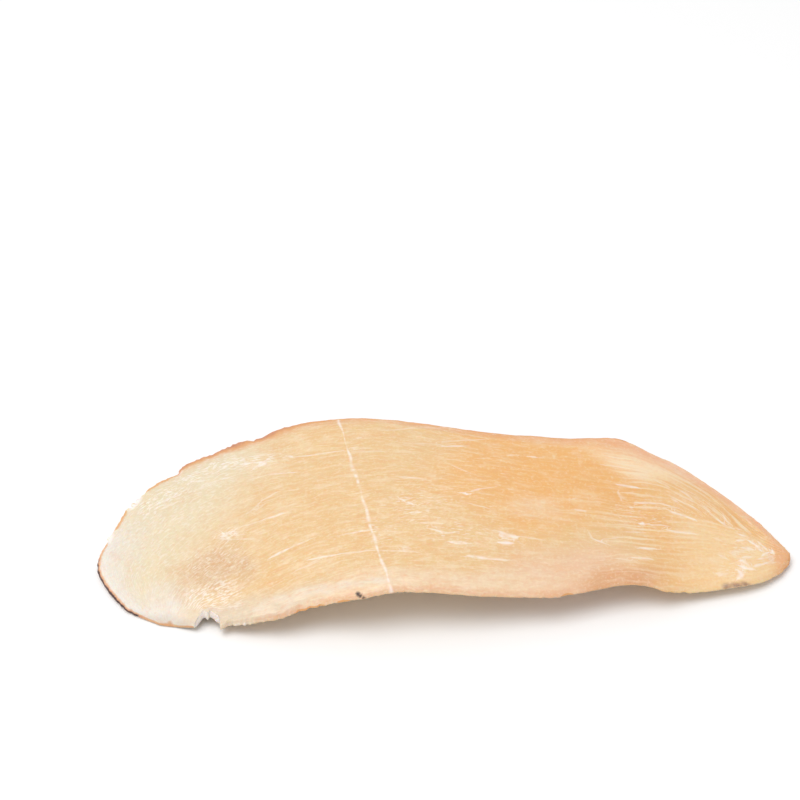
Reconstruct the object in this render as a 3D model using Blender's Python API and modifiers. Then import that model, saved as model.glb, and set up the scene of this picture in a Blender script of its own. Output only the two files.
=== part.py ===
# A dried gastrodia slice: one thin, warped cut along a tuber, lying on three low spots of its underside.
# The blunt end is at -X and the tip at +X. The near edge, at -Y, is the one that waves.

import math

import bmesh
import bpy
import numpy as np

MM = 0.001

# Outline, in mm. Each rib crosses the slice from its near edge to its far edge, in the order of the
# flesh's fibres: from the torn stem scar, low on the blunt end, to the snapped tip.
RIBS = (
    ((-42.6, -23.1), (-45.7, -22.7)),
    ((-36.5, -24.3), (-52.5, -18.9)),
    ((-30.4, -24.5), (-58.0, -10.0)),
    ((-24.4, -24.5), (-56.8, -1.2)),
    ((-17.0, -23.2), (-52.6, 8.9)),
    ((-9.0, -22.4), (-44.6, 17.2)),
    ((0.0, -21.8), (-32.4, 22.0)),
    ((10.0, -20.9), (-17.5, 23.7)),
    ((20.5, -19.6), (-1.0, 21.3)),
    ((31.0, -16.6), (14.0, 19.9)),
    ((41.0, -15.0), (28.0, 20.7)),
    ((49.0, -13.1), (38.4, 20.5)),
    ((54.5, -11.5), (47.8, 15.8)),
    ((58.2, -8.8), (55.5, 6.0)),
    ((60.0, -6.5), (59.2, -0.5)),
    ((60.5, -5.6), (60.6, -3.7)),
)
COLUMNS_PER_RIB = 9
ROWS = 16

# Thickness, in mm: the flesh, and how thin it has shrunk at the skin.
FLESH = 1.5
SKIN_EDGE = 1.0
THINNED_WITHIN = 4.0

# Warp, in mm. The slice dried as a low arch along its length and a shallow dome across it.
ARCH_HEIGHT = 7.0
ARCH_CENTRE = 2.0
ARCH_HALF = 56.0
DOME_RADIUS = 210.0

# Waves of the two margins, in mm: where along X, how far each way, and how high.
NEAR_WAVES = ((-36.0, 10.0, -1.0), (-9.0, 10.0, 1.2), (13.0, 9.0, -0.8), (34.0, 7.0, 1.7), (52.0, 7.0, 0.9))
FAR_WAVES = ((-44.0, 10.0, -1.0), (-20.0, 12.0, 0.6), (8.0, 10.0, -0.7), (31.0, 8.0, 0.8), (46.0, 8.0, -1.2))
WAVE_REACH = 14.0

# Tears and nibbles in the edges, in mm: distance along the edge from the stem scar, half width and
# depth. The sides of a nick are steep and its bottom is flat.
NEAR_NICKS = ((6.0, 2.2, 2.3), (28.5, 0.8, 0.5), (64.0, 1.3, 0.3), (98.0, 1.5, 0.2))
FAR_NICKS = ((42.0, 1.3, 0.8), (52.0, 1.6, 0.5), (64.0, 1.3, 0.4))
NICK_REACH = 4.0
NICK_POWER = 4

# The three low spots under the slice, in mm, and how deep the table cuts each one flat.
FEET = ((-44.1, -22.6), (-48.0, 14.3), (48.7, 14.9))
FLAT_DEPTH = 0.15
CUTTER_SIZE = 300.0

# Half of the unit square that the grid starts as, before each point gets its place.
UNIT_HALF = 0.5

FLESH_CREAM = (0.878, 0.640, 0.365, 1.0)
FLESH_ROUGHNESS = 0.5


def smooth_curve(points, per_span):
    """A Catmull-Rom curve through the points, with per_span steps between each two."""
    points = np.array(points)
    padded = np.vstack([2 * points[0] - points[1], points, 2 * points[-1] - points[-2]])
    steps = np.linspace(0, 1, per_span, endpoint=False)[:, None]
    curve = []
    for a, b, c, d in zip(padded, padded[1:], padded[2:], padded[3:]):
        curve.append(
            b
            + 0.5 * steps * (c - a)
            + steps**2 * (a - 2.5 * b + 2 * c - 0.5 * d)
            + steps**3 * (1.5 * b - 0.5 * a - 1.5 * c + 0.5 * d)
        )
    return np.vstack([*curve, points[-1:]])


def bumps(x, table):
    """The sum of a row's bell-shaped waves at x."""
    return sum(height * np.exp(-(((x - centre) / half) ** 2)) for centre, half, height in table)


def margin_fade(distance, reach):
    """1 at the edge, easing to 0 at reach."""
    share = np.clip(1 - distance / reach, 0, 1)
    return share * share * (3 - 2 * share)


def nicked(flat, edge, nicks, turn):
    """The plan with each nick of one edge pressed inwards, squeezing the flesh behind it."""
    steps = np.linalg.norm(np.diff(edge, axis=0), axis=1)
    run = np.concatenate([[0], np.cumsum(steps)])
    for place, half, depth in nicks:
        before, here, after = (
            np.array([np.interp(place + shift, run, edge[:, axis]) for axis in (0, 1)])
            for shift in (-half, 0, half)
        )
        along = (after - before) / np.linalg.norm(after - before)
        inward = turn * np.array([-along[1], along[0]])
        beside = (flat - here) @ along
        behind = (flat - here) @ inward
        press = depth * np.exp(-np.abs(beside / half) ** NICK_POWER) * margin_fade(behind, NICK_REACH)
        flat = flat + press[..., None] * inward
    return flat


def plan(columns, rows):
    """X and Y of each grid point, and its distances from the near and the far edge, in mm."""
    near = smooth_curve([rib[0] for rib in RIBS], columns)
    far = smooth_curve([rib[1] for rib in RIBS], columns)
    across = np.linspace(0, 1, rows + 1)[None, :]
    flat = near[:, None] * (1 - across[..., None]) + far[:, None] * across[..., None]
    flat = nicked(flat, near, NEAR_NICKS, 1)
    flat = nicked(flat, far, FAR_NICKS, -1)
    rib_length = np.linalg.norm(far - near, axis=1)[:, None]
    return flat[..., 0], flat[..., 1], rib_length * across, rib_length * (1 - across)


def warp(x, from_near, from_far):
    """Height of the middle of the flesh above a level plane, before the slice is laid down, in mm."""
    arch = ARCH_HEIGHT * np.cos(np.clip((x - ARCH_CENTRE) / ARCH_HALF, -1, 1) * math.pi / 2) ** 2
    dome = from_near * from_far / (2 * DOME_RADIUS)
    near_waves = bumps(x, NEAR_WAVES) * margin_fade(from_near, WAVE_REACH)
    far_waves = bumps(x, FAR_WAVES) * margin_fade(from_far, WAVE_REACH)
    return arch + dome + near_waves + far_waves


def thickness(from_near, from_far):
    """Thickness of the flesh, thinning towards the skin, in mm."""
    thinned = margin_fade(np.minimum(from_near, from_far), THINNED_WITHIN)
    return FLESH - (FLESH - SKIN_EDGE) * thinned


def laid_down(x, y, z, under):
    """Heights with the plane through the three feet taken off, so that the slice stands on them."""
    feet = []
    for foot_x, foot_y in FEET:
        nearest = np.unravel_index(np.argmin((x - foot_x) ** 2 + (y - foot_y) ** 2), x.shape)
        feet.append((x[nearest], y[nearest], 1.0, under[nearest]))
    feet = np.array(feet)
    slope_x, slope_y, lift = np.linalg.solve(feet[:, :3], feet[:, 3])
    return z - (slope_x * x + slope_y * y + lift) - FLAT_DEPTH


def slice_sheet(collection):
    """The middle surface of the slice: a grid whose rows run with the fibres from end to end."""
    columns = COLUMNS_PER_RIB * (len(RIBS) - 1)
    x, y, from_near, from_far = plan(COLUMNS_PER_RIB, ROWS)
    z = warp(x, from_near, from_far)
    thick = thickness(from_near, from_far)
    z = laid_down(x, y, z, z - thick / 2)

    sheet = bmesh.new()
    bmesh.ops.create_grid(sheet, x_segments=columns, y_segments=ROWS, size=UNIT_HALF)
    full = sheet.verts.layers.deform.verify()
    for vertex in sheet.verts:
        column = round((vertex.co.x + UNIT_HALF) * columns)
        row = round((vertex.co.y + UNIT_HALF) * ROWS)
        at = (column, row)
        vertex[full][0] = (thick[at] - SKIN_EDGE) / (FLESH - SKIN_EDGE)
        vertex.co = (x[at] * MM, y[at] * MM, z[at] * MM)
    mesh = bpy.data.meshes.new("gastrodia_slice")
    sheet.to_mesh(mesh)
    sheet.free()

    body = bpy.data.objects.new("gastrodia_slice", mesh)
    body.vertex_groups.new(name="full_thickness")
    collection.objects.link(body)
    return body


def table_cutter(collection):
    """A block whose top is the table: it cuts the three feet flat."""
    bpy.ops.mesh.primitive_cube_add(size=CUTTER_SIZE * MM, location=(0, 0, -CUTTER_SIZE / 2 * MM))
    cutter = bpy.context.object
    cutter.name = "table_cutter"
    cutter.hide_render = True
    cutter.display_type = "WIRE"
    for owner in list(cutter.users_collection):
        owner.objects.unlink(cutter)
    collection.objects.link(cutter)
    return cutter


def flesh_material():
    material = bpy.data.materials.new("dried_flesh")
    material.use_nodes = True
    shader = material.node_tree.nodes["Principled BSDF"]
    shader.inputs["Base Color"].default_value = FLESH_CREAM
    shader.inputs["Roughness"].default_value = FLESH_ROUGHNESS
    shader.inputs["Metallic"].default_value = 0.0
    return material


def centred(body):
    """Moves the slice so that the middle of its box is over the origin."""
    bpy.context.view_layer.update()
    solid = body.evaluated_get(bpy.context.evaluated_depsgraph_get()).to_mesh()
    points = np.array([vertex.co for vertex in solid.vertices])
    middle = (points.min(0) + points.max(0)) / 2
    body.location = (-middle[0], -middle[1], 0)


def main():
    for old in list(bpy.data.objects):
        bpy.data.objects.remove(old)
    parts = bpy.data.collections.new("dried_gastrodia_slice")
    cutters = bpy.data.collections.new("cutters")
    bpy.context.scene.collection.children.link(parts)
    bpy.context.scene.collection.children.link(cutters)

    body = slice_sheet(parts)
    body.data.materials.append(flesh_material())
    body.data.shade_smooth()

    flesh = body.modifiers.new("flesh", "SOLIDIFY")
    flesh.thickness = FLESH * MM
    flesh.offset = 0
    flesh.vertex_group = "full_thickness"
    flesh.thickness_vertex_group = SKIN_EDGE / FLESH

    feet = body.modifiers.new("feet", "BOOLEAN")
    feet.operation = "DIFFERENCE"
    feet.object = table_cutter(cutters)
    centred(body)


main()
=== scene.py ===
import math

import bpy
import numpy as np
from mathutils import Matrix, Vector, noise


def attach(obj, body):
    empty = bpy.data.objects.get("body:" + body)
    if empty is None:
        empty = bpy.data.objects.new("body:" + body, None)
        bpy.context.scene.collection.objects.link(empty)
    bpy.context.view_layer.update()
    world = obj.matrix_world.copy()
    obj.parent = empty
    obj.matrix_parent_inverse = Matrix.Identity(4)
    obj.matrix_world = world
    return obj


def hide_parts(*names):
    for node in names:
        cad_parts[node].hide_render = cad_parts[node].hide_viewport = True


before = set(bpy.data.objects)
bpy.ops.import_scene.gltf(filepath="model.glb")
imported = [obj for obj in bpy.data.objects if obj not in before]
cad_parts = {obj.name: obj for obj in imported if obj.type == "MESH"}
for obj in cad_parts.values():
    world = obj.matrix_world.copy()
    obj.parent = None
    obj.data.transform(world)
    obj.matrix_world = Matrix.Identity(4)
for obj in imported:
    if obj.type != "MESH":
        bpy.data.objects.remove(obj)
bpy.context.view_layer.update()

# The cut. A steamed gastrodia tuber is sliced lengthwise, so the outline is the tuber's own: a broad end
# with the torn stem scar, low on the left, and a pointed tip. Sizes are in mm, in the slice's own plan.
# Each rib crosses the slice from its near edge to its far edge, and the flesh's fibres cross the ribs.

MM = 0.001
RIBS = (
    ((-42.6, -23.1), (-45.7, -22.7)),
    ((-36.5, -24.3), (-52.5, -18.9)),
    ((-30.4, -24.5), (-58.0, -10.0)),
    ((-24.4, -24.5), (-56.8, -1.2)),
    ((-17.0, -23.2), (-52.6, 8.9)),
    ((-9.0, -22.4), (-44.6, 17.2)),
    ((0.0, -21.8), (-32.4, 22.0)),
    ((10.0, -20.9), (-17.5, 23.7)),
    ((20.5, -19.6), (-1.0, 21.3)),
    ((31.0, -16.6), (14.0, 19.9)),
    ((41.0, -15.0), (28.0, 20.7)),
    ((49.0, -13.1), (38.4, 20.5)),
    ((54.5, -11.5), (47.8, 15.8)),
    ((58.2, -8.8), (55.5, 6.0)),
    ((60.0, -6.5), (59.2, -0.5)),
    ((60.5, -5.6), (60.6, -3.7)),
)
# Columns of the mesh between each two ribs, finer where the edges are torn.
COLUMNS_PER_RIB = (40, 32, 26, 30, 30, 26, 20, 18, 18, 16, 16, 16, 14, 12, 10)
COLUMNS = sum(COLUMNS_PER_RIB)
ROWS = 146
ROWS_CROWDED_AT_EDGES = 0.5

# How the edges depart from that outline: distance along the edge from the stem scar, and how far the
# edge lies inside the outline. The notch with its teeth and the spikes at the far left were torn.
NEAR_EDGE = (
    (0.0, 0.0),
    (2.6, -0.15),
    (3.2, -0.2),
    (3.35, 0.4),
    (3.9, 1.6),
    (4.4, 1.85),
    (4.75, 1.5),
    (5.0, 1.45),
    (5.1, 1.95),
    (5.9, 1.6),
    (7.1, 1.05),
    (7.45, -0.4),
    (7.8, -0.45),
    (8.2, -0.15),
    (8.8, 0.2),
    (9.5, 0.35),
    (10.1, 0.0),
    (12.4, -0.1),
    (18.0, -0.15),
    (19.5, 0.3),
    (23.5, 0.2),
    (26.2, -0.2),
    (30.0, -0.5),
    (31.8, -0.7),
    (34.0, -0.4),
    (37.0, 0.0),
    (48.7, -0.25),
    (53.8, -0.05),
    (63.7, -0.05),
    (65.5, 0.2),
    (77.3, 0.2),
    (79.9, -0.25),
    (82.7, -0.5),
    (86.8, -0.1),
    (95.0, 0.0),
    (98.0, 0.15),
    (103.9, -0.2),
    (107.0, -0.1),
    (109.0, -0.35),
)
FAR_EDGE = (
    (0.0, 0.0),
    (17.3, -0.15),
    (20.0, 0.25),
    (24.0, 0.6),
    (24.8, 0.6),
    (25.1, 0.15),
    (25.6, 0.35),
    (26.6, 0.45),
    (30.0, 0.35),
    (33.2, 0.0),
    (33.6, 0.1),
    (33.8, 0.6),
    (34.3, 0.75),
    (34.6, -0.05),
    (35.0, -0.05),
    (35.3, 0.7),
    (35.7, 0.65),
    (36.0, 0.0),
    (36.4, 0.05),
    (36.8, 0.45),
    (37.5, 0.15),
    (38.2, 0.35),
    (39.5, 0.05),
    (42.5, 0.0),
    (44.1, 0.4),
    (46.0, 0.75),
    (46.5, 0.7),
    (46.9, 0.0),
    (48.4, -0.6),
    (51.6, -0.6),
    (53.5, -0.35),
    (55.9, -0.7),
    (59.2, -0.7),
    (60.4, -0.45),
    (61.3, 0.35),
    (62.5, 0.0),
    (63.9, 0.3),
    (65.0, -0.4),
    (66.7, -0.6),
    (70.2, -0.6),
    (74.0, -0.05),
    (78.0, 0.2),
    (100.0, 0.25),
    (112.9, 0.05),
    (119.6, 0.45),
    (123.0, 0.0),
    (126.0, -0.5),
    (128.6, -1.0),
    (129.6, -0.9),
    (131.0, -0.5),
    (132.5, -0.2),
    (134.1, 0.1),
    (136.1, 0.1),
    (138.4, -0.3),
    (140.8, -0.3),
    (144.7, 0.2),
    (148.5, 0.3),
    (156.7, 0.0),
    (165.0, 0.0),
    (168.0, -0.3),
    (170.0, -0.5),
)

# How deep the worn line still shows in the flesh behind it, how much it blurs for each mm inwards, and the
# least slant at which a rib counts as meeting an edge.
EDGE_REACH = 4.0
EDGE_SPREAD = np.linspace(-0.8, 0.8, 9)
SLANT_LEAST = 0.2

# Where each edge is chewed: place along it, half width, and how much rougher it is than elsewhere.
NEAR_CHEWED = ((11.0, 3.0, 1.0), (22.0, 9.0, 1.3), (83.0, 5.0, 2.2), (60.0, 10.0, 0.8))
FAR_CHEWED = ((42.0, 3.0, 0.8), (52.0, 4.0, 1.6), (60.0, 6.0, 2.4), (68.0, 5.0, 1.2))

# Crumbs and longer lobes along the edges: the size of each, how far it stands out or in, how deep the flesh
# behind it is disturbed, and how far from the slice's two ends the edge stays calm.
CRUMB = 0.6
CRUMB_DEPTH = 0.14
LOBE = 3.6
LOBE_DEPTH = 0.12
CRUMB_REACH = 2.4
CALM_ENDS = 6.0


def smooth_curve(points):
    """A Catmull-Rom curve through the points, with as many steps between each two as there are columns."""
    points = np.array(points)
    padded = np.vstack([2 * points[0] - points[1], points, 2 * points[-1] - points[-2]])
    curve = []
    for count, a, b, c, d in zip(COLUMNS_PER_RIB, padded, padded[1:], padded[2:], padded[3:]):
        steps = np.linspace(0, 1, count, endpoint=False)[:, None]
        curve.append(
            b
            + 0.5 * steps * (c - a)
            + steps**2 * (a - 2.5 * b + 2 * c - 0.5 * d)
            + steps**3 * (1.5 * b - 0.5 * a - 1.5 * c + 0.5 * d)
        )
    return np.vstack([*curve, points[-1:]])


def eased(value, start, end):
    """0 up to the start and 1 from the end on, with a soft ease between the two."""
    share = np.clip((value - start) / (end - start), 0, 1)
    return share * share * (3 - 2 * share)


def distance_run(curve):
    """Distance along a curve from its first point to each point."""
    steps = np.linalg.norm(np.diff(curve, axis=0), axis=1)
    return np.concatenate([[0], np.cumsum(steps)])


def rough(seed, first, second):
    """Smooth noise between -1 and 1 at two fields, each in units of its grain. The seed picks the pattern."""
    first, second = np.broadcast_arrays(first, second)
    grid = [noise.noise(Vector((here, there, seed))) for here, there in zip(first.ravel(), second.ravel())]
    return np.array(grid).reshape(first.shape)


def bumps(place, table):
    """The sum of a table's bell-shaped waves at each place."""
    return sum(height * np.exp(-(((place - centre) / half) ** 2)) for centre, half, height in table)


def beside_edge(flat, edge):
    """For each point: how far along the edge it lies, how far inside, and the edge's heading there."""
    run = distance_run(edge)
    heading = np.gradient(edge, axis=0)
    heading = heading / np.linalg.norm(heading, axis=1, keepdims=True)
    closest = np.stack([((row[:, None] - edge) ** 2).sum(2).argmin(1) for row in flat])
    reach = flat - edge[closest]
    onward = (reach * heading[closest]).sum(2)
    return run[closest] + onward, np.linalg.norm(reach, axis=2), heading[closest]


def worn_edge(flat, edge, turn, table, chewed, seed):
    """The plan with one edge brought to its worn line, which blurs inwards, and how far it moved."""
    run, inside, heading = beside_edge(flat, edge)
    inward = turn * np.stack([-heading[..., 1], heading[..., 0]], 2)
    places, depths = np.array(table).T
    blurred = [np.interp(run + share * inside, places, depths) for share in EDGE_SPREAD]
    press = np.mean(blurred, 0) * eased(inside, EDGE_REACH, 0)
    fine = CRUMB_DEPTH * (1 + bumps(run, chewed)) * rough(seed, run / CRUMB, np.zeros_like(run))
    broad = LOBE_DEPTH * rough(seed, run / LOBE, np.ones_like(run))
    loose = eased(np.minimum(run, run.max() - run), 0, CALM_ENDS)
    press = press + (fine + broad) * loose * eased(inside, CRUMB_REACH, 0)
    return flat + press[..., None] * inward, press


def rib_slant(edge):
    """Distance along each rib for 1 mm straight in from the edge."""
    heading = np.gradient(edge, axis=0)
    ribs = far_edge - near_edge
    turned = heading[:, 0] * ribs[:, 1] - heading[:, 1] * ribs[:, 0]
    sine = np.abs(turned) / np.linalg.norm(heading, axis=1) / np.linalg.norm(ribs, axis=1)
    return 1 / np.maximum(sine, SLANT_LEAST)[:, None]


near_edge = smooth_curve([rib[0] for rib in RIBS])
far_edge = smooth_curve([rib[1] for rib in RIBS])
near_run = distance_run(near_edge)[:, None]
far_run = distance_run(far_edge)[:, None]
even = np.linspace(0, 1, ROWS + 1)
crowded = 0.5 - 0.5 * np.cos(math.pi * even)
across_share = (1 - ROWS_CROWDED_AT_EDGES) * even + ROWS_CROWDED_AT_EDGES * crowded

plan = near_edge[:, None] * (1 - across_share[:, None]) + far_edge[:, None] * across_share[:, None]
rib_length = np.linalg.norm(far_edge - near_edge, axis=1)[:, None]
from_near = rib_length * across_share
from_far = rib_length * (1 - across_share)
middle = (plan.reshape(-1, 2).min(0) + plan.reshape(-1, 2).max(0)) / 2
plan, near_press = worn_edge(plan, near_edge, 1, NEAR_EDGE, NEAR_CHEWED, 3.7)
plan, far_press = worn_edge(plan, far_edge, -1, FAR_EDGE, FAR_CHEWED, 8.2)
near_depth = from_near + near_press * rib_slant(near_edge)
far_depth = from_far + far_press * rib_slant(far_edge)
x = plan[..., 0]
y = plan[..., 1]

along = np.stack([distance_run(plan[:, row]) for row in range(ROWS + 1)], 1)
across = across_share * rib_length.max() + np.zeros_like(along)
from_ends = np.minimum(along, along[-1:] - along)
from_edge = np.minimum(np.minimum(from_near, from_far), from_ends)

# The warp. The slice dried as a low arch along its length and a shallow dome across it, its two margins
# drew up in waves, and it lies on three low spots of its underside. Heights are in mm.

ARCH_HEIGHT = 7.0
ARCH_CENTRE = 2.0
ARCH_HALF = 56.0
DOME_RADIUS = 210.0
NEAR_WAVES = ((-36.0, 10.0, -1.0), (-9.0, 10.0, 1.2), (13.0, 9.0, -0.8), (34.0, 7.0, 1.7), (52.0, 7.0, 0.9))
FAR_WAVES = ((-44.0, 10.0, -1.0), (-20.0, 12.0, 0.6), (8.0, 10.0, -0.7), (31.0, 8.0, 0.8), (46.0, 8.0, -1.2))
WAVE_REACH = 14.0
FEET = ((-44.1, -22.6), (-48.0, 14.3), (48.7, 14.9))
FLAT_DEPTH = 0.15

# Thickness, and the rim: the near edge is worn down from above to a feather edge, and the far edge is
# rounded from below. A level is where the rim lies, from 0 at the underside to 1 at the cut face.
FLESH = 1.5
SKIN_EDGE = 1.0
THINNED_WITHIN = 4.0
RIM = 0.18
NEAR_WORN_WITHIN = 1.4
FAR_WORN_WITHIN = 0.6
FAR_LEVEL = 0.85
NEAR_LEVEL = 0.08
BLUNT_TURNS = (12.0, 34.0)

# Where the flesh was torn rather than cut, and is white.
TORN = (
    ((-56.5, -3.6), (1.6, 1.6)),
    ((-53.7, 5.9), (2.0, 3.4)),
    ((-47.0, 14.6), (1.2, 1.2)),
    ((-38.2, -23.0), (2.4, 2.4)),
    ((-35.8, -22.6), (2.2, 2.4)),
    ((-32.0, -24.8), (1.8, 0.5)),
)
TORN_GRAIN = 1.0
TORN_STEEPER = 0.3
TORN_SHARPER = 0.6
SPOT_RAGGED = 0.35
SPOT_RIM = (1.0, 0.3)

# Relief of the two faces: fibres and their bundles, the cockling, the crease's ridge and raised streaks.
BUNDLE = 2.3
BUNDLE_HEIGHT = 0.08
FIBRE = 0.85
FIBRE_HEIGHT = 0.035
BUNDLE_LENGTH = 9.0
COCKLE = 7.0
COCKLE_HEIGHT = 0.14
FIXED_EDGE = 3.0
CREASE_HEIGHT = 0.08
CREASE_WIDTH = 0.4
CREASE_UNDER = 0.5
STREAK_HEIGHT = 0.03


def spots(places, grain):
    """1 at the middle of each place, easing to 0 at its ragged rim."""
    ragged = SPOT_RAGGED * rough(12.9, x / grain, y / grain)
    cover = np.zeros(x.shape)
    for (middle_x, middle_y), (reach_x, reach_y) in places:
        away = np.hypot((x - middle_x) / reach_x, (y - middle_y) / reach_y)
        cover = np.maximum(cover, eased(away + ragged, *SPOT_RIM))
    return cover


def nearest(spot):
    """The grid point closest to a spot of the plan."""
    return np.unravel_index(np.argmin((x - spot[0]) ** 2 + (y - spot[1]) ** 2), x.shape)


arch = ARCH_HEIGHT * np.cos(np.clip((x - ARCH_CENTRE) / ARCH_HALF, -1, 1) * math.pi / 2) ** 2
dome = from_near * from_far / (2 * DOME_RADIUS)
near_waves = bumps(x, NEAR_WAVES) * eased(near_depth, WAVE_REACH, 0)
far_waves = bumps(x, FAR_WAVES) * eased(far_depth, WAVE_REACH, 0)
height = arch + dome + near_waves + far_waves

thick = FLESH - (FLESH - SKIN_EDGE) * eased(np.minimum(near_depth, far_depth), THINNED_WITHIN, 0)
feet = np.array([(x[at], y[at], 1.0, height[at] - thick[at] / 2) for at in map(nearest, FEET)])
slope_x, slope_y, lift = np.linalg.solve(feet[:, :3], feet[:, 3])
height = height - (slope_x * x + slope_y * y + lift) - FLAT_DEPTH

far_level = NEAR_LEVEL + (FAR_LEVEL - NEAR_LEVEL) * eased(far_run, *BLUNT_TURNS)
level = NEAR_LEVEL + (far_level - NEAR_LEVEL) * across_share
worn_within = NEAR_WORN_WITHIN + (FAR_WORN_WITHIN - NEAR_WORN_WITHIN) * (level - NEAR_LEVEL) / FAR_LEVEL
torn = spots(TORN, TORN_GRAIN)
rounding = np.clip(from_edge / worn_within / (1 - TORN_SHARPER * torn), 0, 1)
rounded = 1 - np.sqrt(rounding * (2 - rounding))
feathered = (1 - rounding) ** 2
worn = (thick - RIM) * (feathered + (rounded - feathered) * level)
worn = worn * (1 - TORN_STEEPER * torn)
top = height + thick / 2 - worn * (1 - level)
under = height - thick / 2 + worn * level

# The marks in the flesh. Air dried into the fibres shows as white streaks, which follow them, as nested
# chevrons in the tip, and as one crease right across, where the slice was bent while it dried.

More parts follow.
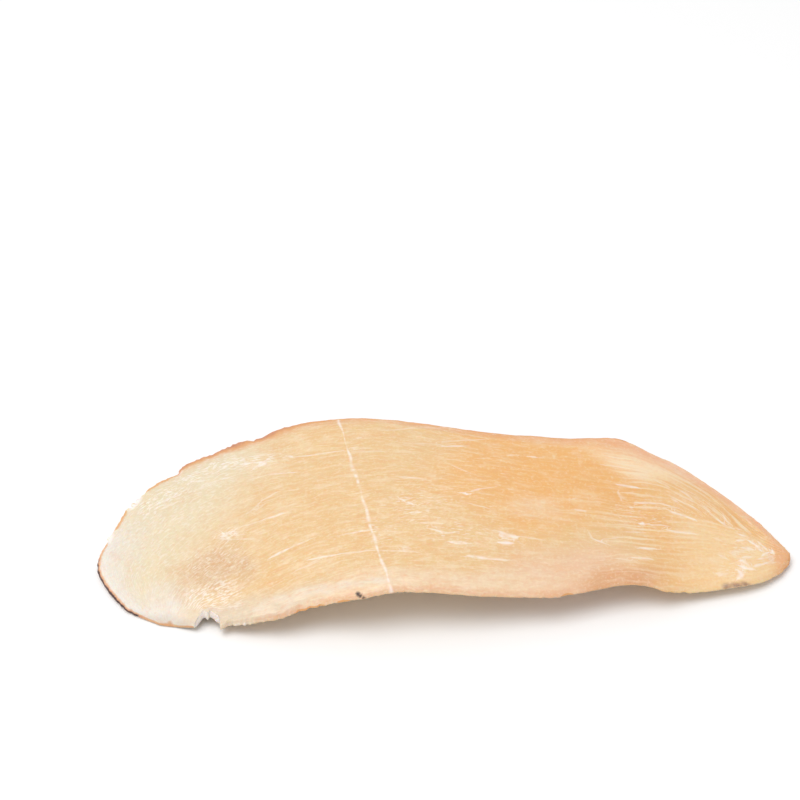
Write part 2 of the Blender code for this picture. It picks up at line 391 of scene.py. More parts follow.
# Streaks: start, end, half width, and how white.
STREAKS = (
    ((-27.7, -12.4), (-24.8, -10.9), 0.2, 0.9),
    ((-24.8, -10.9), (-21.5, -9.6), 0.14, 0.6),
    ((-21.3, -14.0), (-16.0, -13.6), 0.14, 0.8),
    ((-16.0, -13.5), (-10.1, -13.4), 0.12, 0.6),
    ((-9.4, -13.5), (-3.1, -14.2), 0.13, 0.6),
    ((-15.9, -9.2), (-10.6, -8.6), 0.14, 0.75),
    ((-34.4, -4.4), (-30.0, -3.2), 0.13, 0.5),
    ((-30.0, -3.2), (-26.1, -2.2), 0.15, 0.8),
    ((-32.6, -0.8), (-30.5, 1.9), 0.13, 0.45),
    ((-31.8, -1.0), (-29.9, 1.0), 0.11, 0.35),
    ((-30.5, 2.1), (-27.9, 3.7), 0.14, 0.6),
    ((-26.5, 13.1), (-17.0, 13.2), 0.12, 0.75),
    ((-15.7, 12.8), (-9.0, 11.8), 0.11, 0.45),
    ((-33.4, 8.2), (-30.0, 9.0), 0.12, 0.45),
    ((-30.0, 9.0), (-24.9, 8.6), 0.14, 0.6),
    ((-42.1, 8.9), (-35.7, 10.3), 0.13, 0.45),
    ((-35.0, 13.4), (-33.8, 13.4), 0.32, 1.0),
    ((-33.0, 11.2), (-32.0, 12.2), 0.2, 0.8),
    ((-32.2, 11.5), (-30.6, 12.8), 0.18, 0.8),
    ((-31.9, 12.9), (-30.9, 13.1), 0.22, 0.7),
    ((-33.9, 15.6), (-31.3, 15.2), 0.18, 0.6),
    ((-38.5, 14.2), (-34.8, 15.0), 0.16, 0.45),
    ((-26.8, 13.7), (-26.0, 13.4), 0.22, 0.9),
    ((-37.4, -6.1), (-34.8, -7.1), 0.16, 0.6),
    ((-36.8, -4.9), (-35.4, -6.6), 0.18, 0.7),
    ((-35.9, -5.2), (-35.0, -5.0), 0.2, 0.7),
    ((-33.9, -7.1), (-31.1, -7.6), 0.12, 0.5),
    ((-43.0, 7.9), (-40.0, 8.6), 0.2, 0.5),
    ((-49.6, 5.2), (-46.8, 6.9), 0.3, 0.55),
    ((-48.6, 3.4), (-46.0, 5.0), 0.22, 0.45),
    ((-46.8, 11.6), (-44.6, 12.6), 0.25, 0.5),
    ((-9.7, 18.2), (-2.0, 19.6), 0.11, 0.5),
    ((-2.0, 19.6), (2.1, 20.3), 0.1, 0.4),
    ((-2.8, 21.5), (-1.0, 21.3), 0.2, 0.8),
    ((-6.7, 4.6), (-1.7, 3.7), 0.13, 0.55),
    ((-6.5, -1.2), (-5.2, -2.2), 0.18, 0.8),
    ((-5.2, -2.2), (-3.9, -2.8), 0.2, 0.9),
    ((-6.0, -1.9), (-4.6, -1.5), 0.12, 0.6),
    ((-4.5, -4.9), (-2.7, -4.8), 0.2, 0.8),
    ((-3.0, -7.3), (1.3, -7.4), 0.13, 0.55),
    ((-1.2, -8.6), (2.3, -9.8), 0.16, 0.7),
    ((-23.3, -16.1), (-19.3, -14.6), 0.14, 0.45),
    ((-5.3, -13.0), (-4.1, -13.4), 0.2, 0.5),
    ((0.5, 13.5), (4.8, 14.1), 0.17, 0.85),
    ((0.3, 14.9), (8.9, 17.2), 0.11, 0.6),
    ((-6.0, 14.4), (0.5, 14.0), 0.11, 0.4),
    ((11.9, 12.3), (14.3, 12.6), 0.14, 0.55),
    ((15.8, 12.7), (17.9, 12.7), 0.17, 0.85),
    ((-15.2, 13.7), (-14.3, 13.9), 0.2, 0.7),
    ((-14.6, 16.5), (-13.9, 16.6), 0.18, 0.6),
    ((4.5, 0.5), (5.3, 0.2), 0.3, 1.0),
    ((5.8, 1.0), (8.0, 2.0), 0.16, 0.7),
    ((8.0, 2.0), (10.1, 2.8), 0.12, 0.5),
    ((2.4, 7.9), (5.5, 6.2), 0.1, 0.45),
    ((5.8, -2.3), (8.9, -3.0), 0.12, 0.5),
    ((1.4, -9.8), (3.3, -9.3), 0.15, 0.6),
    ((2.6, -11.7), (5.1, -11.6), 0.24, 1.0),
    ((10.6, -8.4), (12.4, -9.3), 0.3, 0.8),
    ((11.0, -9.3), (14.0, -9.2), 0.42, 0.9),
    ((14.0, -9.0), (18.2, -9.0), 0.1, 0.5),
    ((10.5, -10.8), (12.9, -10.6), 0.22, 0.9),
    ((5.2, -14.5), (9.0, -14.4), 0.2, 0.85),
    ((9.0, -14.4), (12.3, -14.3), 0.14, 0.7),
    ((26.1, -5.1), (26.4, -6.7), 0.13, 0.5),
    ((26.4, -6.7), (29.0, -7.6), 0.16, 0.7),
    ((23.8, -0.2), (25.7, 0.0), 0.17, 0.65),
    ((23.5, 2.5), (24.3, 2.8), 0.16, 0.6),
    ((31.6, 8.4), (35.6, 8.6), 0.22, 0.9),
    ((31.9, 6.5), (32.2, 4.6), 0.2, 0.5),
    ((32.6, 5.5), (34.0, 2.5), 0.3, 0.25),
    ((35.1, -0.9), (36.2, -0.8), 0.3, 1.0),
    ((36.6, -0.8), (40.1, -0.4), 0.14, 0.6),
    ((39.8, -1.5), (44.7, -1.4), 0.18, 0.8),
    ((32.3, -3.6), (36.2, -2.9), 0.13, 0.5),
    ((34.7, 4.4), (38.6, 5.0), 0.17, 0.7),
    ((40.1, 3.9), (45.0, 2.3), 0.2, 0.85),
    ((39.4, 5.2), (42.5, 4.6), 0.15, 0.55),
    ((41.4, 6.9), (42.4, 6.4), 0.18, 0.6),
    ((46.9, 6.3), (48.0, 5.4), 0.18, 0.5),
    ((39.1, 11.6), (41.2, 10.4), 0.16, 0.5),
    ((43.4, 9.8), (45.0, 8.2), 0.17, 0.6),
    ((34.3, -7.6), (37.5, -6.8), 0.2, 0.9),
    ((33.0, -10.6), (36.8, -9.9), 0.17, 0.7),
    ((30.2, -11.2), (33.0, -11.4), 0.12, 0.4),
    ((28.9, 13.1), (34.5, 13.7), 0.12, 0.5),
    ((29.3, 15.7), (33.4, 15.9), 0.1, 0.35),
    ((28.1, -6.5), (31.6, -5.3), 0.1, 0.4),
    ((50.3, 4.5), (50.9, 3.0), 0.15, 0.6),
    ((50.9, 3.0), (51.6, 2.2), 0.15, 0.7),
    ((49.6, 2.7), (50.6, 1.8), 0.2, 0.6),
    ((50.6, 1.8), (51.8, 1.1), 0.18, 0.6),
    ((48.7, 3.5), (49.6, 3.0), 0.16, 0.5),
    ((54.4, 4.6), (55.3, 2.9), 0.14, 0.35),
    ((52.4, 1.3), (52.9, 1.1), 0.2, 0.6),
    ((52.6, -0.2), (53.7, -0.6), 0.2, 0.7),
    ((54.1, -1.7), (55.1, -2.7), 0.22, 0.9),
    ((55.1, -2.7), (56.0, -4.0), 0.24, 1.0),
    ((55.7, -1.7), (56.4, -2.7), 0.15, 0.6),
    ((56.4, -2.7), (57.0, -3.8), 0.16, 0.7),
    ((52.0, -2.1), (53.3, -1.6), 0.22, 0.65),
    ((52.8, -3.8), (54.6, -4.1), 0.28, 0.85),
    ((51.2, -4.9), (53.1, -5.0), 0.22, 0.6),
    ((57.2, -4.3), (56.0, -5.4), 0.2, 0.85),
    ((57.9, -3.8), (58.0, -4.8), 0.28, 0.9),
    ((58.0, -5.2), (56.8, -5.8), 0.18, 0.6),
    ((56.7, -5.8), (55.2, -6.5), 0.2, 0.6),
    ((58.1, -5.7), (57.0, -6.8), 0.16, 0.45),
    ((57.0, -6.8), (55.8, -7.6), 0.2, 0.7),
    ((55.8, -7.6), (54.3, -8.5), 0.22, 0.7),
    ((58.3, -6.5), (56.5, -7.4), 0.14, 0.4),
    ((52.6, -6.4), (54.1, -6.1), 0.26, 0.55),
    ((50.5, -5.5), (51.4, -5.8), 0.2, 0.4),
    ((52.1, -7.4), (52.5, -7.3), 0.36, 0.95),
    ((51.8, -8.7), (52.9, -9.1), 0.34, 0.95),
    ((52.9, -9.1), (54.1, -9.1), 0.24, 0.75),
    ((52.5, -7.6), (53.3, -8.4), 0.28, 0.65),
    ((51.4, -9.7), (52.1, -10.6), 0.26, 0.85),
    ((52.1, -10.6), (51.2, -11.5), 0.28, 0.85),
    ((47.7, -10.8), (48.3, -11.0), 0.34, 0.85),
    ((48.3, -11.0), (49.6, -10.6), 0.2, 0.45),
    ((48.7, -6.3), (49.7, -6.9), 0.24, 0.5),
    ((47.9, -1.9), (49.1, -2.3), 0.2, 0.3),
)
# How far a streak wanders and over what length, how far beside it its fields fade out, how whole it is, and
# how much and over what length that varies.
STREAK_WIGGLE = 0.16
STREAK_WAVE = 1.5
STREAK_CLEAR = (1.0, 0.5)
STREAK_KEPT = 0.85
STREAK_BREAKS = 0.9
STREAK_BREAK_LENGTH = 0.8

# The crease crosses the slice as a slightly bent line: where it is at the middle of the slice, its lean
# and its bend, how far it wanders and its half width. Air gathered in it in long and short beads, and
# most of all by the near edge.
CREASE_AT = -12.95
CREASE_LEAN = -0.2435
CREASE_BEND = 0.00075
CREASE_WIGGLE = 0.3
CREASE_WAVE = 3.4
CREASE_HALF = 0.23
CREASE_SWELLS = 0.9
CREASE_SWELL_LENGTH = 3.2
CREASE_CLEAR = (1.2, 0.6)
CREASE_KEPT = 0.55
CREASE_FAINTEST = 0.15
LONG_BEAD = 2.6
LONG_BEADS = 0.6
SHORT_BEAD = 0.6
SHORT_BEADS = 1.4
BEAD_WIDTH = 9.0
WHITER_NEAR = 0.4

# Scars: dark specks of skin dried into the flesh. Places of their middles, and their reach each way.
SCAR_SHARE = 0.95
SCARS = (
    ((-12.5, -22.8), (0.5, 0.42)),
    ((-12.1, -23.1), (0.45, 0.35)),
    ((-11.5, -23.4), (0.45, 0.25)),
    ((20.6, -1.3), (0.3, 0.22)),
)

# Broad patches: painted light, a lit band on the upper wing where it rises, the brown bruise, and a fair
# patch in the amber.
WING_PAINTED_LIGHT = (((36.5, 16.0), (10.5, 7.5)),)
BRUISE = (((-37.0, -13.6), (9.5, 7.5)),)
FAIR = (((17.0, -1.0), (7.5, 5.0)),)
FAIR_SHARE = 0.8

# A dark smear of skin on the near edge, by the tip.
SMEAR = (((49.3, -13.0), (1.5, 0.85)), ((51.0, -12.6), (1.8, 0.7)), ((53.0, -12.1), (1.9, 0.5)))

# Where air has gathered: the middle of each cloud of fine white dashes, and its reach each way.
AIRY = (
    ((-50.0, 6.0), (3.5, 3.0)),
    ((-46.0, 9.5), (5.0, 4.5)),
    ((-38.0, 12.5), (8.0, 4.5)),
    ((-31.0, 14.0), (8.0, 4.0)),
    ((-35.5, -6.0), (5.0, 4.0)),
    ((-38.0, -11.0), (8.0, 6.5)),
    ((-3.0, -3.0), (9.0, 7.0)),
    ((4.0, -9.5), (8.0, 4.0)),
    ((-9.0, -9.0), (4.0, 4.0)),
    ((36.0, 1.5), (9.0, 6.0)),
    ((45.0, 6.0), (6.0, 5.0)),
    ((53.0, -4.0), (5.0, 5.0)),
    ((50.5, -9.8), (4.0, 3.0)),
)

# Painted highlight on the lip: a pale band of light along the crest where the near margin turned up.
LIP_PAINTED_HIGHLIGHT = (
    ((-27.8, -22.8), (2.8, 1.9)),
    ((-25.0, -21.8), (3.0, 1.9)),
    ((-22.0, -21.2), (3.4, 1.7)),
    ((-18.5, -20.9), (3.8, 1.5)),
    ((-14.5, -20.8), (3.8, 1.3)),
    ((-9.5, -20.6), (4.2, 1.1)),
)

# Frost: clouds of white crumbs in the blunt end, where the steam left the starch loose.
FROST = (
    ((-50.5, 4.5), (3.2, 4.2)),
    ((-47.6, 7.6), (3.6, 2.6)),
    ((-44.0, 11.8), (4.0, 2.6)),
    ((-38.5, 14.6), (7.0, 2.4)),
    ((-31.5, 13.6), (4.0, 2.2)),
    ((-35.6, -5.8), (2.2, 2.2)),
    ((-37.0, -19.5), (7.5, 4.0)),
)

# The skin along each edge: distance from the stem scar, width in mm, and how brown it is, from 0 for
# orange to 1 for dark brown. A width of 0 is an edge with no skin left.
FAR_SKIN = (
    (0.0, 0.25, 0.2),
    (2.5, 0.30, 0.2),
    (3.2, 0.32, 0.2),
    (4.4, 0.42, 1.0),
    (10.0, 0.55, 1.0),
    (19.5, 0.55, 1.0),
    (21.0, 0.55, 0.0),
    (23.5, 0.50, 0.0),
    (24.5, 0.0, 0.0),
    (27.0, 0.0, 0.0),
    (28.0, 0.50, 0.0),
    (32.5, 0.42, 0.0),
    (33.2, 0.0, 0.0),
    (38.5, 0.0, 0.1),
    (39.5, 0.45, 0.1),
    (43.0, 0.60, 0.1),
    (46.0, 0.40, 0.3),
    (47.5, 0.70, 0.8),
    (50.0, 0.80, 0.4),
    (55.0, 1.00, 0.6),
    (58.0, 1.80, 0.8),
    (60.5, 1.00, 0.3),
    (63.0, 1.50, 0.8),
    (66.0, 1.40, 0.5),
    (70.0, 0.90, 0.35),
    (76.0, 0.45, 0.15),
    (98.0, 0.34, 0.1),
    (106.0, 0.36, 0.3),
    (122.0, 0.32, 0.25),
    (127.5, 0.24, 0.2),
    (128.5, 0.36, 0.5),
    (129.8, 0.36, 0.6),
    (130.6, 0.12, 0.0),
    (137.0, 0.15, 0.0),
    (169.0, 0.20, 0.1),
)
NEAR_SKIN = (
    (0.0, 0.25, 0.2),
    (2.6, 0.16, 0.2),
    (3.2, 0.0, 0.2),
    (19.0, 0.0, 0.2),
    (21.0, 0.12, 0.0),
    (24.0, 0.10, 0.0),
    (26.0, 0.0, 0.0),
    (28.0, 0.12, 0.0),
    (30.0, 0.0, 0.0),
    (63.0, 0.0, 0.1),
    (65.0, 0.12, 0.1),
    (67.0, 0.0, 0.1),
    (104.0, 0.0, 0.1),
    (107.0, 0.20, 0.3),
)
END_SKIN = 0.25

# Under the first width an edge has hardly any skin, and a point there counts as up to three widths deeper.
SKIN_GONE = 0.1
SKIN_GONE_DEEPER = 3.0


def strokes(lines):
    """For the line nearest to each point: how far to its side, in half widths, and how plain the line is."""
    gap = np.full(x.shape, STREAK_CLEAR[0])
    side = np.zeros(x.shape)
    white = np.zeros(x.shape)
    spot_x = x + STREAK_WIGGLE * rough(31.5, x / STREAK_WAVE, y / STREAK_WAVE)
    spot_y = y + STREAK_WIGGLE * rough(47.2, x / STREAK_WAVE, y / STREAK_WAVE)
    for start, end, half, share_white in lines:
        run = end[0] - start[0]
        rise = end[1] - start[1]
        length = math.hypot(run, rise)
        beside = spot_x - start[0]
        above = spot_y - start[1]
        share = np.clip((beside * run + above * rise) / length**2, 0, 1)
        taper = half * (0.5 + 0.5 * np.sin(math.pi * share))
        away = np.hypot(beside - share * run, above - share * rise)
        closer = away < gap
        across_line = (above * run - beside * rise) / length
        beyond = np.sign(across_line) * away
        side = np.where(closer, np.where(np.abs(across_line) < away, beyond, across_line) / taper, side)
        white = np.where(closer, share_white, white)
        gap = np.minimum(gap, away)
    breaks = rough(5.9, x / STREAK_BREAK_LENGTH, y / STREAK_BREAK_LENGTH)
    broken = np.clip(STREAK_KEPT + STREAK_BREAKS * breaks, 0, 1)
    return side, eased(gap, *STREAK_CLEAR) * white * broken


def skin(table, run, distance):
    """Depth under one edge, in widths of its skin, and how brown that skin is."""
    places, widths, browns = np.array(table).T
    width = np.interp(run, places, widths)
    depth = distance / np.maximum(width, SKIN_GONE) + SKIN_GONE_DEEPER * eased(width, SKIN_GONE, 0)
    return depth, np.interp(run, places, browns) + np.zeros(x.shape)


streak, streak_shown = strokes(STREAKS)
crease = (x - CREASE_AT - CREASE_LEAN * y - CREASE_BEND * y * y) / math.hypot(1, CREASE_LEAN)
crease = crease + CREASE_WIGGLE * rough(6.6, y / CREASE_WAVE, np.zeros_like(y))
long_beads = LONG_BEADS * rough(9.1, y / LONG_BEAD, x / BEAD_WIDTH)
short_beads = SHORT_BEADS * rough(10.3, y / SHORT_BEAD, x / BEAD_WIDTH)
beaded = CREASE_KEPT + long_beads + short_beads + WHITER_NEAR * eased(y, -13, -19)
crease_shown = eased(np.abs(crease), *CREASE_CLEAR) * np.clip(beaded, CREASE_FAINTEST, 1)
ridge = CREASE_HEIGHT * np.exp(-((crease / CREASE_WIDTH) ** 2))
swells = 1 + CREASE_SWELLS * rough(7.7, y / CREASE_SWELL_LENGTH, x / BEAD_WIDTH)
crease = crease / (CREASE_HALF * swells)

near_skin, near_brown = skin(NEAR_SKIN, near_run, from_near)
far_skin, far_brown = skin(FAR_SKIN, far_run, from_far)
skin_depth = np.minimum(np.minimum(near_skin, far_skin), from_ends / END_SKIN)
skin_brown = np.where(near_skin < far_skin, near_brown, far_brown)

fixed = eased(from_edge, 0, FIXED_EDGE)
cockle = COCKLE_HEIGHT * rough(1.3, x / COCKLE, y / COCKLE) * fixed


def fibre_relief(seed):
    """Height of the fibres and their bundles on one face of the slice."""
    bundles = BUNDLE_HEIGHT * rough(seed, along / BUNDLE_LENGTH, across / BUNDLE)
    fibres = FIBRE_HEIGHT * rough(seed + 5.1, along / BUNDLE_LENGTH, across / FIBRE)
    return (bundles + fibres) * fixed


raised = STREAK_HEIGHT * streak_shown * np.exp(-(streak**2) / 2)
under = np.maximum(under + cockle + fibre_relief(17.8) - CREASE_UNDER * ridge, 0)
top = np.maximum(top + cockle + fibre_relief(2.4) + ridge + raised, under + RIM)

# Two slow noises keep the borders of the colours from running straight.
BORDER_DRIFT = 8.0
DRIFT_GRAIN = 14.0
BORDER_LOBE = 1.6
LOBE_LENGTH = 9.0
LOBE_WIDTH = 5.0
drift = BORDER_DRIFT * rough(4.4, x / DRIFT_GRAIN, y / DRIFT_GRAIN)
lobed = BORDER_LOBE * rough(5.2, along / LOBE_LENGTH, across / LOBE_WIDTH)

# Where the flesh changes colour, and where painted light and painted shade lie on it, each as a share from 0
# to 1.
# Each ease takes a place or a distance in mm, or a share of the rib, and then where the colour begins and
# where it is full.
upper_wing = eased(x, 34, 44) * eased(from_far / rib_length, 0.62, 0.42)
lower_wing = eased(x + 0.5 * drift, 39, 47) * eased(from_near / rib_length, 0.55, 0.35)
far_blush = 0.7 * eased(from_far + 0.4 * lobed, 3.8, 0.3) * eased(x, -50, -40)
near_blush = 0.45 * eased(from_near + 0.2 * lobed, 1.4, 0.2) * eased(x, -33, -26) * eased(x, 28, 20)
AREAS = {
    "cream": eased(x + drift - 0.25 * y, -23, -47),
    "amber": eased(x + drift, -8, 16) * eased(y + drift, -12, 6),
    "wing": eased(x + drift, 30, 42),
    # Painted light: the lit band on the upper wing.
    "wing_painted_light": spots(WING_PAINTED_LIGHT, 7.0),
    "low": eased(from_near + lobed, 12, 5) * eased(x, 6, 16) * eased(x, 36, 26),
    # Painted shade: the dip, where the near margin of the wing curls down, is darkened in its colour.
    "dip_painted_shade": eased(from_near + lobed, 6.5, 0.5) * eased(x, 21, 28) * eased(x, 41, 34),
    "lip": eased(from_near + 1.6 * lobed, 7.0, 2.0) * eased(x, 25, 10) * eased(x, -44, -34),
    "lip_end": eased(from_near + 1.6 * lobed, 9.5, 2.5) * eased(x, -14, -26) * eased(x, -44, -34),
    # Painted highlight along the lip's crest.
    "lip_painted_highlight": spots(LIP_PAINTED_HIGHLIGHT, 2.0),
    "foot": eased(from_edge + lobed, 11, 0) * eased(x, -34, -46) * eased(y, 6, -8),
    "blush": np.maximum(far_blush, near_blush),
    "flush": eased(from_far + lobed, 6.5, 1.0) * eased(x, 20, 42),
    "snapped": eased(x + 0.5 * lobed, 56.0, 59.5),
    "bruise": spots(BRUISE, 4.0),
    "fair": FAIR_SHARE * spots(FAIR, 5.0),
    "smear": spots(SMEAR, 2.0),
    "low_wing": lower_wing,
}
comb_kept = eased(from_far, 1.5, 6.0) * (1 - 0.6 * eased(from_near + lobed, 13, 6))
FIELDS = {
    **AREAS,
    "airy": spots(AIRY, 3.0),
    "frost": spots(FROST, 1.6),
    "torn": torn * eased(from_edge, 1.3, 0.7),
    "scar": SCAR_SHARE * spots(SCARS, 0.5),
    "skinward": upper_wing,
    "combed": eased(x + drift, 20, 34) * (1 - 0.8 * lower_wing) * comb_kept,
    "fleshy": (1 - 0.75 * eased(x + drift, -26, -44)) * (1 - 0.5 * eased(x, 6, 24)),
    "streak": streak,
    "streak_shown": streak_shown,
    "crease": crease,
    "crease_shown": crease_shown,
    "skin_depth": skin_depth,
    "skin_brown": skin_brown,
}
# What shows on the upper face alone.
ONLY_ON_TOP = (
    "streak_shown",
    "crease_shown",
    "scar",
    "bruise",
    "frost",
    "smear",
    "lip",
    "lip_end",
    "lip_painted_highlight",
)

# The flesh itself: one slab of a tuber that was steamed, cut by a blade and dried hard. It is made as one
# sheet, given its thickness, then brought to the cut's plan and warp.

bpy.ops.object.select_all(action="DESELECT")
bpy.ops.mesh.primitive_grid_add(x_subdivisions=COLUMNS, y_subdivisions=ROWS, size=1)
flesh = bpy.context.object
flesh.name = "dried_flesh"
mesh = flesh.data
points = len(mesh.vertices)
places = np.empty(points * 3)
mesh.vertices.foreach_get("co", places)
places = places.reshape(-1, 3)
column = np.rint((places[:, 0] + 0.5) * COLUMNS).astype(int)
row = np.rint((places[:, 1] + 0.5) * ROWS).astype(int)

wall = flesh.modifiers.new("wall", "SOLIDIFY")
wall.thickness = FLESH * MM
wall.offset = -1
bpy.ops.object.modifier_apply(modifier=wall.name)

upper = np.stack([x - middle[0], y - middle[1], top], -1)[column, row]
lower = np.stack([x - middle[0], y - middle[1], under], -1)[column, row]
mesh.vertices.foreach_set("co", (np.concatenate([upper, lower]) * MM).ravel())
mesh.update()

for name, shares in FIELDS.items():
    both = np.concatenate([shares[column, row]] * 2)
    if name in ONLY_ON_TOP:
        both[points:] = 0
    mesh.attributes.new(name, "FLOAT", "POINT").data.foreach_set("value", both)

# Two maps in mm for the fibres: one follows them from end to end, and in the other they keep to the far
# edge, as they do in the tip. The underside reads its grain from another stretch of both.
UNDERSIDE_SHIFT = 70.0
SWAY = ((0.6, 5.0), (0.25, 1.6))
SWAY_BY_SKIN = 0.4
SMOOTH_UP_TO = 50
swayed = sum(reach * rough(13.3 + reach, x / grain, y / grain) for reach, grain in SWAY)
corner = np.empty(len(mesh.loops), dtype=int)
mesh.loops.foreach_get("vertex_index", corner)
mesh.uv_layers.new(name="skinside")
straight_in = from_far / rib_slant(far_edge)
crossings = {"fibres": across + swayed, "skinside": straight_in + SWAY_BY_SKIN * swayed}
for fibre_map, (name, crossing) in zip(mesh.uv_layers, crossings.items()):
    fibre_map.name = name
    on_map = np.stack([along, crossing], -1)[column, row]
    on_map = np.concatenate([on_map, on_map + UNDERSIDE_SHIFT])[corner]
    fibre_map.data.foreach_set("uv", on_map.ravel())
bpy.ops.object.shade_smooth_by_angle(angle=math.radians(SMOOTH_UP_TO))


def linear(code):
    """An sRGB hex colour as the linear numbers that the shader reads."""
    parts = [int(code[at : at + 2], 16) / 255 for at in (1, 3, 5)]
    return (*[part / 12.92 if part <= 0.04045 else ((part + 0.055) / 1.055) ** 2.4 for part in parts], 1.0)


def add(tree, kind, inputs, **settings):
    """A node with its settings, and with each named input set to a value or linked to an output."""
    made = tree.nodes.new(kind)
    for name, value in settings.items():
        setattr(made, name, value)
    for socket, value in inputs.items():
        if isinstance(value, bpy.types.NodeSocket):
            tree.links.new(value, made.inputs[socket])
        else:
            made.inputs[socket].default_value = value
    return made


# Horn-like dried flesh: starch that steaming turned to a translucent gel, cut by a blade and dried. It
# gives a cream to honey colour with light in it, fine lengthwise fibres and a satin cut face.
HONEY = "#e4c18d"
AREA_COLOURS = {
    "cream": "#e2d3b1",
    "amber": "#ebb36c",
    "fair": "#ecc699",
    "wing": "#e9ba7c",
    "low_wing": "#eecb97",
    # Painted light on the upper wing.
    "wing_painted_light": "#f6d9b0",
    "low": "#e7c3a1",
    # Painted shade of the dip by the wing's near edge.
    "dip_painted_shade": "#d8a377",
    "lip": "#e8ceac",
    "lip_end": "#d9c8af",
    # Painted highlight on the lip's crest.
    "lip_painted_highlight": "#e7d8c2",
    "foot": "#e4e0d8",
    "blush": "#dfa074",
    "flush": "#edb68d",
    "snapped": "#e7ae7b",
    "bruise": "#dabb94",
    "smear": "#9c7c68",
}
PALE = "#f3dfc2"
DEEP = "#e2a468"
ROSE = "#e6b08c"
TAN = "#cf9a6e"
AIR_WHITE = "#f7eee7"
FROST_WHITE = "#f6ece2"
SKIN_ORANGE = "#dc9b58"
SKIN_RUSSET = "#bf7b65"
SKIN_BROWN = "#4d3430"
SCAR_BROWN = "#3a262a"

# Grains of the flesh that follow the fibres: length and width in mm, and octaves. The others are as wide
# as they are long. Single fibres are about 0.1 mm wide and starch grains finer still, too fine to show, so
# both are drawn 0.3 to 0.6 mm wide.
FIBROUS = {
    "bands": (5.0, 1.2, 3),
    "lines": (1.8, 0.4, 2),
    "dashes": (1.4, 0.3, 1),
    "arcs": (12.0, 0.95, 1),
    "flecks": (1.1, 0.5, 2),
}
EVEN = {"blotch": (5.0, 3), "speck": (0.55, 2), "ragged": (1.3, 3)}
GRAIN_ROUGHNESS = 0.6

# Sockets are given by number where names repeat. A Mix has its share at 0, two values at 2 and 3, and two
# colours at 6 and 7. A Map Range has where it starts and ends at 1 and 2, and what it gives there at 3 and 4.
horn = bpy.data.materials.new("dried_tuber_horn")
horn.use_nodes = True
tree = horn.node_tree
shader = tree.nodes["Principled BSDF"]
field = {name: add(tree, "ShaderNodeAttribute", {}, attribute_name=name).outputs["Fac"] for name in FIELDS}
in_flesh = add(tree, "ShaderNodeTexCoord", {}).outputs["Object"]
fibre_maps = [add(tree, "ShaderNodeUVMap", {}, uv_map=name).outputs[0] for name in crossings]

for name, (grain, octaves) in EVEN.items():
    noisy = {"Vector": in_flesh, "Scale": 1 / (grain * MM), "Detail": octaves, "Roughness": GRAIN_ROUGHNESS}
    field[name] = add(tree, "ShaderNodeTexNoise", noisy).outputs["Fac"]
for name, (length, width, octaves) in FIBROUS.items():
    woven = []
    for fibre_map in fibre_maps:
        scale = (1 / length, 1 / width, 1)
        stretched = add(tree, "ShaderNodeMapping", {"Vector": fibre_map, "Scale": scale}).outputs[0]
        noisy = {"Vector": stretched, "Scale": 1.0, "Detail": octaves, "Roughness": GRAIN_ROUGHNESS}
        woven.append(add(tree, "ShaderNodeTexNoise", noisy, noise_dimensions="2D").outputs["Fac"])
    both = {0: field["skinward"], 2: woven[0], 3: woven[1]}
    field[name] = add(tree, "ShaderNodeMix", both).outputs[0]

# The rims of the white lines and of the skin are bitten by a grain, and the skin is russet in patches and
# dark brown where it dried hard round the stem.
for name in ("streak", "crease"):
    field[name] = add(tree, "ShaderNodeMath", {0: field[name]}, operation="ABSOLUTE").outputs[0]
for name, grain in (("streak", "speck"), ("crease", "speck"), ("skin_depth", "ragged")):
    bitten = {0: field[grain], 1: 1.0, 2: field[name]}
    field[name] = add(tree, "ShaderNodeMath", bitten, operation="MULTIPLY_ADD").outputs[0]
for name, start, full in (("russet_skin", 0.0, 0.7), ("dark_skin", 0.75, 0.95)):
    browned = {"Value": field["skin_brown"], 1: start, 2: full}
    field[name] = add(tree, "ShaderNodeMapRange", browned, interpolation_type="SMOOTHSTEP").outputs[0]

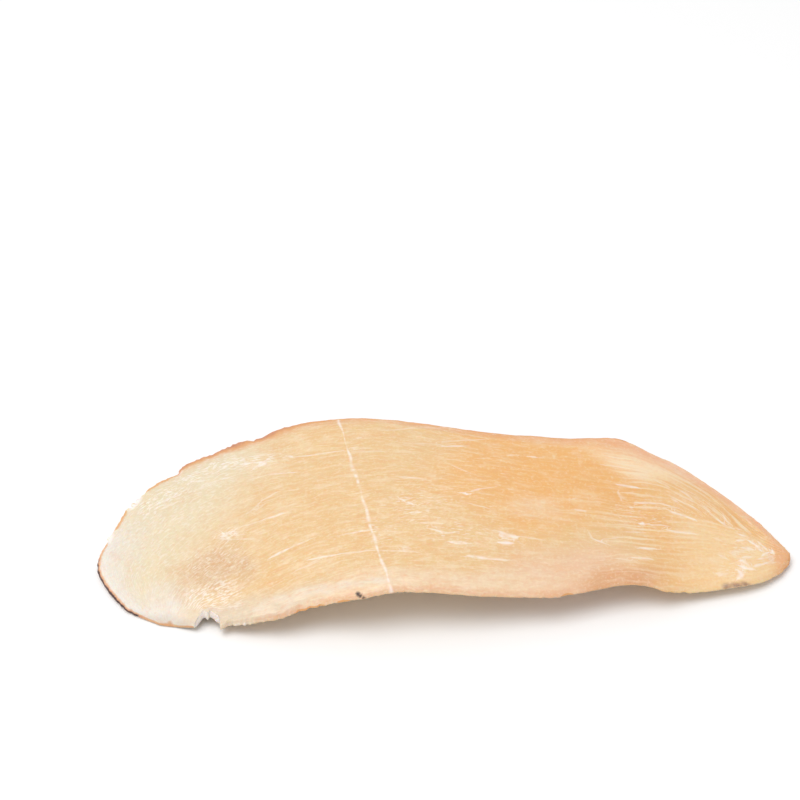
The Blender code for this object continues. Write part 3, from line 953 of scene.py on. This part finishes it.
# What lies over the flesh's own colours, in order: the grain or line, where it starts and is full, its share
# at most, its colour, and the area that it keeps to. Last come the lines of air and the papery skin.
LAYERS = (
    ("blotch", 0.50, 0.72, 0.25, PALE, None),
    ("blotch", 0.50, 0.28, 0.12, DEEP, None),
    ("ragged", 0.52, 0.70, 0.18, PALE, None),
    ("ragged", 0.48, 0.30, 0.14, ROSE, None),
    ("bands", 0.50, 0.74, 0.37, PALE, "fleshy"),
    ("bands", 0.50, 0.28, 0.20, DEEP, "fleshy"),
    ("lines", 0.54, 0.72, 0.36, PALE, "fleshy"),
    ("lines", 0.46, 0.28, 0.18, DEEP, "fleshy"),
    ("speck", 0.52, 0.70, 0.28, PALE, None),
    ("speck", 0.48, 0.30, 0.22, ROSE, None),
    ("flecks", 0.50, 0.66, 0.34, AIR_WHITE, "cream"),
    ("lines", 0.50, 0.34, 0.22, TAN, "bruise"),
    ("flecks", 0.50, 0.34, 0.22, TAN, "bruise"),
    ("speck", 0.50, 0.68, 0.20, FROST_WHITE, "bruise"),
    ("flecks", 0.47, 0.61, 0.68, FROST_WHITE, "frost"),
    ("arcs", 0.48, 0.74, 0.62, PALE, "combed"),
    ("arcs", 0.50, 0.30, 0.34, DEEP, "combed"),
    ("dashes", 0.60, 0.74, 0.55, AIR_WHITE, "airy"),
    ("ragged", 0.30, 0.46, 0.95, AIR_WHITE, "torn"),
    ("streak", 3.10, 0.50, 0.85, AIR_WHITE, "streak_shown"),
    ("crease", 2.30, 0.50, 0.70, AIR_WHITE, "crease_shown"),
    ("skin_depth", 2.40, 1.30, 0.75, SKIN_ORANGE, None),
    ("skin_depth", 1.60, 0.80, 0.65, SKIN_RUSSET, "russet_skin"),
    ("skin_depth", 1.15, 0.85, 1.00, SKIN_BROWN, "dark_skin"),
)
covers = [(field[name], shade) for name, shade in AREA_COLOURS.items()]
for name, start, full, share, shade, kept_to in LAYERS:
    cover = {"Value": field[name], 1: start, 2: full, 3: 0.0, 4: share}
    shown = add(tree, "ShaderNodeMapRange", cover, interpolation_type="SMOOTHSTEP").outputs[0]
    if kept_to:
        shown = add(tree, "ShaderNodeMath", {0: shown, 1: field[kept_to]}, operation="MULTIPLY").outputs[0]
    covers.append((shown, shade))
covers.append((field["scar"], SCAR_BROWN))

colour = linear(HONEY)
for shown, shade in covers:
    over = {0: shown, 6: colour, 7: linear(shade)}
    colour = add(tree, "ShaderNodeMix", over, data_type="RGBA").outputs[2]
tree.links.new(colour, shader.inputs["Base Color"])

# The cut face: the blade left the fibres standing a few hundredths of a millimetre, and starch grains
# roughen it finely. The relief is drawn 0.06 mm deep, and light goes about a millimetre into the horn.
RELIEF_DEPTH = 0.00012
RELIEF_STRENGTH = 0.5
SPECK_SHARE = 0.4
SATIN_SMOOTHEST = 0.42
SATIN_ROUGHEST = 0.56
relief = add(tree, "ShaderNodeMix", {0: SPECK_SHARE, 2: field["lines"], 3: field["speck"]}).outputs[0]
bumped = {"Height": relief, "Strength": RELIEF_STRENGTH, "Distance": RELIEF_DEPTH}
tree.links.new(add(tree, "ShaderNodeBump", bumped).outputs[0], shader.inputs["Normal"])
satin = {"Value": field["lines"], 1: 0.3, 2: 0.7, 3: SATIN_SMOOTHEST, 4: SATIN_ROUGHEST}
tree.links.new(add(tree, "ShaderNodeMapRange", satin).outputs[0], shader.inputs["Roughness"])
shader.inputs["IOR"].default_value = 1.5
shader.inputs["Subsurface Weight"].default_value = 0.3
shader.inputs["Subsurface Radius"].default_value = (1.0, 0.55, 0.25)
shader.inputs["Subsurface Scale"].default_value = 0.0012
mesh.materials.clear()
mesh.materials.append(horn)

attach(flesh, "root")
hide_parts("gastrodia_slice")

# The studio: a plain white floor, an even white surround and one broad soft light from above, over the
# left shoulder. The camera looks down at the slice as it lies.

FLOOR_SIZE = 4.0
FLOOR_DROP = 0.0002
PAPER_ROUGHNESS = 0.9
KEY_PLACE = (-0.25, -0.15, 0.8)
KEY_WATTS = 4.0
KEY_SIZE = 0.6
SURROUND_STRENGTH = 0.68

bpy.ops.mesh.primitive_plane_add(size=FLOOR_SIZE, location=(0, 0, -FLOOR_DROP))
floor = bpy.context.object
floor.name = "floor"
paper = bpy.data.materials.new("white_paper")
paper.use_nodes = True
paper.node_tree.nodes["Principled BSDF"].inputs["Base Color"].default_value = linear("#fbfbfb")
paper.node_tree.nodes["Principled BSDF"].inputs["Roughness"].default_value = PAPER_ROUGHNESS
floor.data.materials.append(paper)

bpy.ops.object.light_add(type="AREA", location=KEY_PLACE)
key = bpy.context.object
key.data.energy = KEY_WATTS
key.data.size = KEY_SIZE
key.rotation_euler = (-Vector(KEY_PLACE)).to_track_quat("-Z", "Y").to_euler()

surround = bpy.data.worlds.new("surround")
surround.use_nodes = True
surround.node_tree.nodes["Background"].inputs["Color"].default_value = (1, 1, 1, 1)
surround.node_tree.nodes["Background"].inputs["Strength"].default_value = SURROUND_STRENGTH
bpy.context.scene.world = surround
bpy.context.scene.view_settings.view_transform = "Standard"

CAMERA_PLACE = (0.0, -0.24092, 0.22806)
CAMERA_PITCH = 39.2277
CAMERA_YAW = 1.7794
CAMERA_LENS = 85
CAMERA_SENSOR = 36
CAMERA_NEAREST = 0.01
bpy.ops.object.camera_add(location=CAMERA_PLACE)
camera = bpy.context.object
camera.rotation_euler = (math.radians(90 - CAMERA_PITCH), 0, math.radians(CAMERA_YAW))
camera.data.lens = CAMERA_LENS
camera.data.sensor_width = CAMERA_SENSOR
camera.data.clip_start = CAMERA_NEAREST
bpy.context.scene.camera = camera
